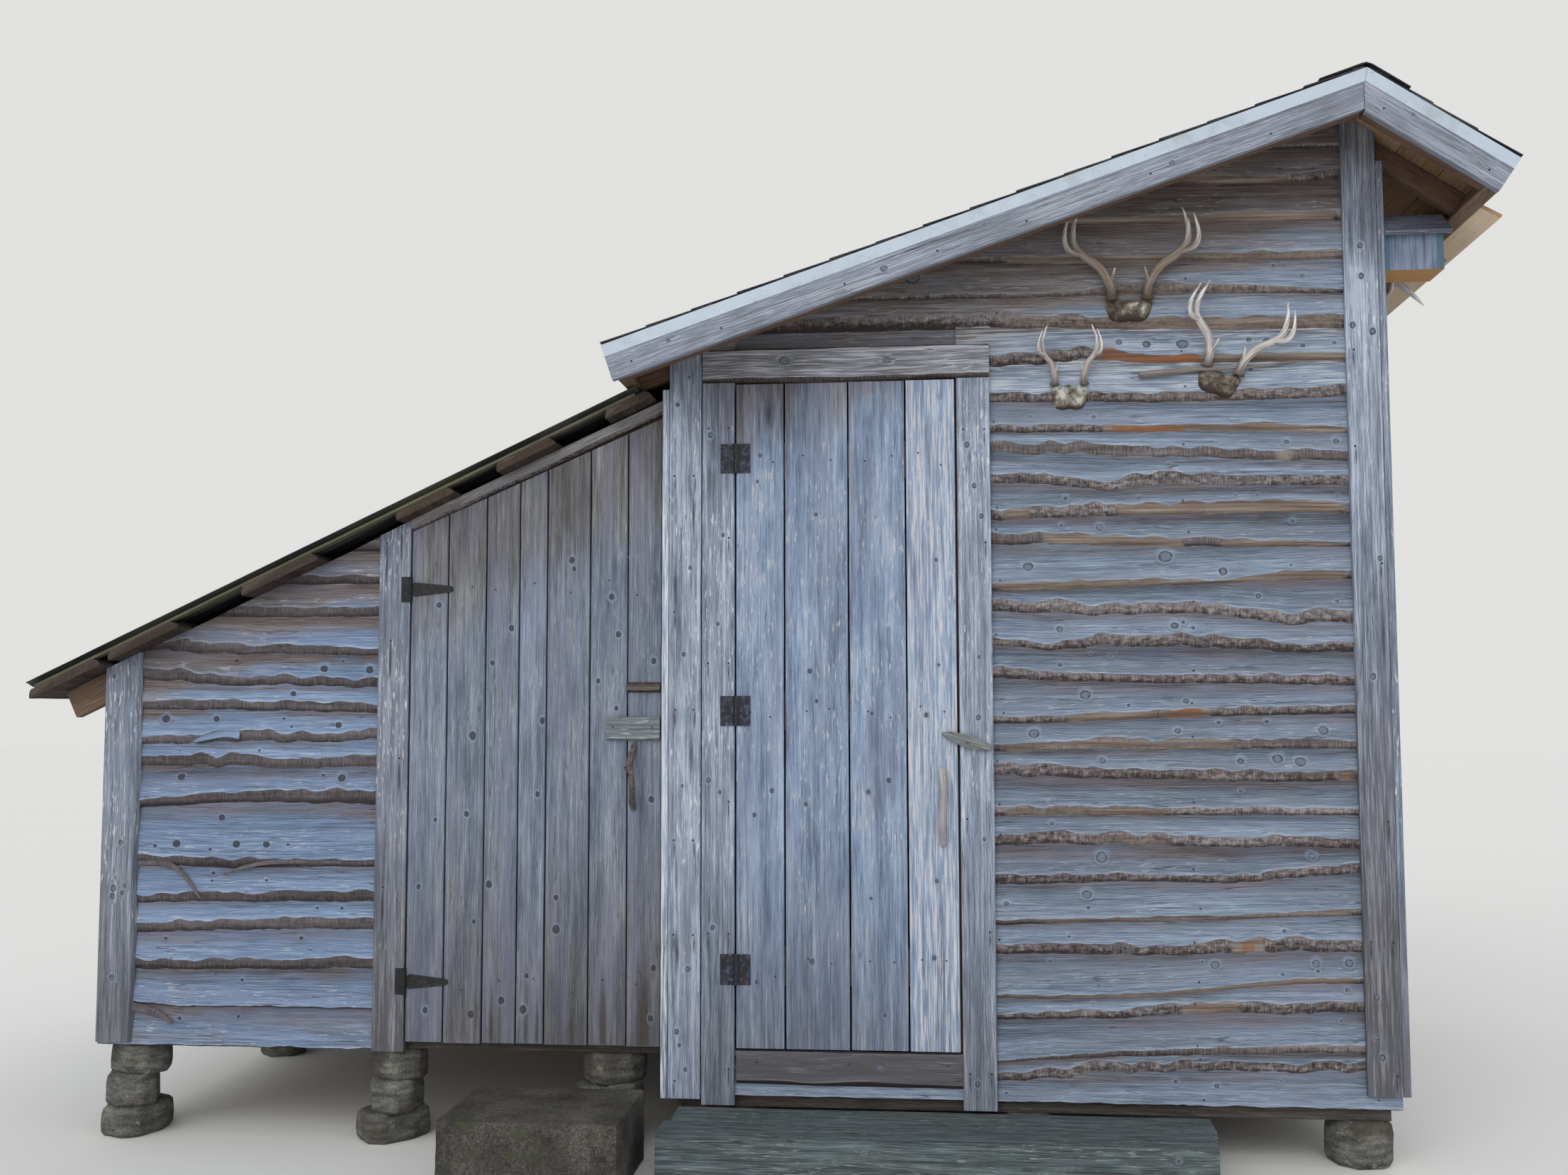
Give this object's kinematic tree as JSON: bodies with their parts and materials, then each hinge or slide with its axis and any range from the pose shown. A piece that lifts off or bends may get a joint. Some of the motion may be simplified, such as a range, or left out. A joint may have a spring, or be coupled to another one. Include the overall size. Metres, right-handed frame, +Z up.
{
  "type": "wooden outhouse with lean-to",
  "caption": "Small weathered wooden outhouse with live-edge siding, an uneven gable roof, and a low lean-to under corrugated sheet; both plank doors open.",
  "frame": {"origin": "centre of the bounding box's bottom, level with the lowest stones and timbers", "axes": "+X to the right along the front, seen from outside; +Y from the front to the back; +Z up"},
  "size_m": [4.423, 3.172, 3.0942],
  "materials": {
    "old_siding": "silver-grey weathered live-edge boards with strips of brown bark",
    "lean_siding": "bluish grey weathered live-edge boards with bark",
    "grey_trim": "silver-grey weathered boards",
    "bark_wood": "brown live-edge wood with bark",
    "frame_wood": "dry sawn framing wood",
    "rake_wood": "grey weathered boards",
    "new_wood": "tan, little weathered",
    "door_planks": "grey weathered planks",
    "stick_wood": "peeled branch",
    "timber_wood": "blue-grey weathered timber with long cracks",
    "stone": "rough fieldstone",
    "concrete": "dark rough concrete",
    "shingle": "black mineral granules",
    "white_drip": "white paint",
    "roof_sheet": "dark grey, dusty",
    "rusty_iron": "rusted",
    "black_iron": "black paint, worn",
    "grey_screw": "dull",
    "antler": "dry bone",
    "bird_wood": "grey weathered boards"
  },
  "bodies": {
    "building": {"stone_piers": "stone", "step_block": "concrete", "front_timbers": "timber_wood", "floor_joists": "frame_wood", "floor_boards": "frame_wood", "front_wall_left": "old_siding", "front_wall_under_door": "old_siding", "front_wall_over_door": "old_siding", "front_wall_right": "old_siding", "left_wall": "old_siding", "right_wall": "old_siding", "back_wall": "old_siding", "wall_studs": "frame_wood", "wall_plates": "frame_wood", "corner_boards": "grey_trim", "door_trim": "grey_trim", "rafters": "frame_wood", "roof_boards": "new_wood", "roof_shingles": "shingle", "ridge_cap": "shingle", "rake_boards": "rake_wood", "eave_fascias": "new_wood", "drip_edges": "white_drip", "eave_panel": "new_wood", "lean_front_wall": "lean_siding", "lean_side_wall": "lean_siding", "lean_back_wall": "lean_siding", "lean_front_boards": "grey_trim", "lean_sills": "frame_wood", "lean_floor": "frame_wood", "lean_studs": "frame_wood", "lean_rafters": "frame_wood", "lean_sheathing": "bark_wood", "lean_roof_strips": "new_wood", "lean_roof_sheet": "roof_sheet", "lean_trim_board": "bark_wood", "fixed_hinge_leaves": "rusty_iron", "button_screw": "grey_screw", "antlers": "antler", "birdhouse": "bird_wood", "birdhouse_roof": "bird_wood"},
    "main_door": {"main_door": "door_planks", "main_door_battens": "door_planks", "main_door_handle": "stick_wood", "main_door_hinges": "rusty_iron"},
    "lean_to_door": {"lean_door": "lean_siding", "lean_door_battens": "door_planks", "lean_door_latch": "bark_wood", "lean_door_handle": "stick_wood", "lean_door_hinges": "black_iron"},
    "turn_button": {"turn_button": "stick_wood"}
  },
  "joints": [
    {"name": "main_door_hinge", "type": "hinge", "parent": "building", "child": "main_door", "pos_m": [-0.00451, -1.141, 1.2965], "axis": [0, 0, -1], "range_deg": [0, 95]},
    {"name": "lean_to_door_hinge", "type": "hinge", "parent": "building", "child": "lean_to_door", "pos_m": [-1.01451, -1.116, 1.078], "axis": [0, 0, -1], "range_deg": [0, 90]},
    {"name": "turn_button_pivot", "type": "hinge", "parent": "building", "child": "turn_button", "pos_m": [0.68249, -1.15, 1.207], "axis": [0, 1, 0], "range_deg": [-107, 73]}
  ]
}
